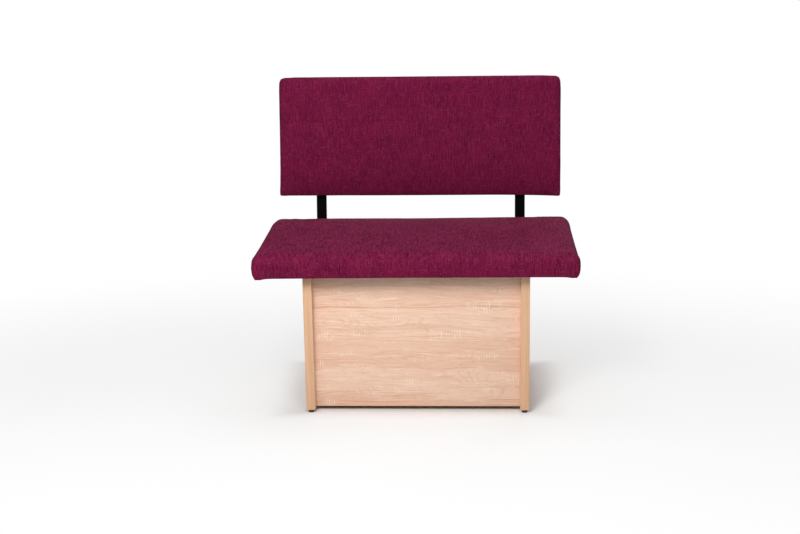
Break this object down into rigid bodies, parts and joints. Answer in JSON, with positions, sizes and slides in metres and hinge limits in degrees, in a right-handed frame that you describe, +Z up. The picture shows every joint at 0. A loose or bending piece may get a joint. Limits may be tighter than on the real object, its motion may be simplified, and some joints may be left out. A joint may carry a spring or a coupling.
{
  "type": "bench with backrest",
  "caption": "Upholstered bench with a backrest: crowned seat and sloping back pad on a box base of laminated board with levelling feet.",
  "frame": {"origin": "on the floor, under the middle of the bench's overall width and depth", "axes": "+Z up, +X to the right as seen from the front, -Y towards the person who looks at the bench's front, so a sitter faces -Y"},
  "size_m": [0.9, 0.5482, 0.8974],
  "materials": {
    "oak_laminate": "melamine-faced chipboard in a pale oak decor with a fine embossed grain",
    "oak_edge_band": "printed ABS edge band, satin",
    "upholstery": "woven wine-red melange fabric with slubs",
    "foam": "cut polyurethane foam",
    "dust_cloth": "black non-woven cloth",
    "plywood": "birch plywood, sanded",
    "beech": "planed beech",
    "black_steel": "black powder coat, fine texture",
    "zinc_steel": "bright zinc plate",
    "black_plastic": "moulded black nylon"
  },
  "bodies": {
    "bench": {"left_side_panel": "oak_laminate", "right_side_panel": "oak_laminate", "left_front_band": "oak_edge_band", "right_front_band": "oak_edge_band", "left_rear_band": "oak_edge_band", "right_rear_band": "oak_edge_band", "front_panel": "oak_laminate", "rear_panel": "oak_laminate", "front_panel_band": "oak_edge_band", "rear_panel_band": "oak_edge_band", "front_rail": "beech", "rear_rail": "beech", "panel_dowels": "beech", "cam_housings": "zinc_steel", "cam_bolts": "zinc_steel", "rail_screws": "zinc_steel", "seat_screws": "zinc_steel", "angle_brackets": "zinc_steel", "bracket_screws": "zinc_steel", "foot_inserts": "zinc_steel", "seat_board": "plywood", "seat_foam": "foam", "seat_cover": "upholstery", "seat_dust_cloth": "dust_cloth", "back_board": "plywood", "back_foam": "foam", "back_cover": "upholstery", "back_lining": "upholstery", "left_back_bar": "black_steel", "right_back_bar": "black_steel", "back_tee_nuts": "zinc_steel", "back_bolts": "black_steel", "bar_inserts": "zinc_steel", "bar_bolts": "black_steel"},
    "front_left_foot": {"front_left_foot": "black_plastic"},
    "front_left_foot_screw": {"front_left_foot_screw": "zinc_steel"},
    "front_right_foot": {"front_right_foot": "black_plastic"},
    "front_right_foot_screw": {"front_right_foot_screw": "zinc_steel"},
    "rear_left_foot": {"rear_left_foot": "black_plastic"},
    "rear_left_foot_screw": {"rear_left_foot_screw": "zinc_steel"},
    "rear_right_foot": {"rear_right_foot": "black_plastic"},
    "rear_right_foot_screw": {"rear_right_foot_screw": "zinc_steel"}
  },
  "joints": [
    {"name": "front_left_lift", "type": "slide", "parent": "bench", "child": "front_left_foot", "axis": [0, 0, -1], "range_m": [-0.0008, 0.01]},
    {"name": "front_left_turn", "type": "hinge", "parent": "front_left_foot", "child": "front_left_foot_screw", "pos_m": [-0.3045, -0.20314, 0.0046], "axis": [0, 0, -1], "range_deg": [-288, 3600]},
    {"name": "front_right_lift", "type": "slide", "parent": "bench", "child": "front_right_foot", "axis": [0, 0, -1], "range_m": [-0.0008, 0.01]},
    {"name": "front_right_turn", "type": "hinge", "parent": "front_right_foot", "child": "front_right_foot_screw", "pos_m": [0.3045, -0.20314, 0.0046], "axis": [0, 0, -1], "range_deg": [-288, 3600]},
    {"name": "rear_left_lift", "type": "slide", "parent": "bench", "child": "rear_left_foot", "axis": [0, 0, -1], "range_m": [-0.0008, 0.01]},
    {"name": "rear_left_turn", "type": "hinge", "parent": "rear_left_foot", "child": "rear_left_foot_screw", "pos_m": [-0.3045, 0.20086, 0.0046], "axis": [0, 0, -1], "range_deg": [-288, 3600]},
    {"name": "rear_right_lift", "type": "slide", "parent": "bench", "child": "rear_right_foot", "axis": [0, 0, -1], "range_m": [-0.0008, 0.01]},
    {"name": "rear_right_turn", "type": "hinge", "parent": "rear_right_foot", "child": "rear_right_foot_screw", "pos_m": [0.3045, 0.20086, 0.0046], "axis": [0, 0, -1], "range_deg": [-288, 3600]}
  ],
  "couplings": [
    {"joint": "front_left_turn", "follows": "front_left_lift", "rad_per_m": 6283.2},
    {"joint": "front_right_turn", "follows": "front_right_lift", "rad_per_m": 6283.2},
    {"joint": "rear_left_turn", "follows": "rear_left_lift", "rad_per_m": 6283.2},
    {"joint": "rear_right_turn", "follows": "rear_right_lift", "rad_per_m": 6283.2}
  ]
}
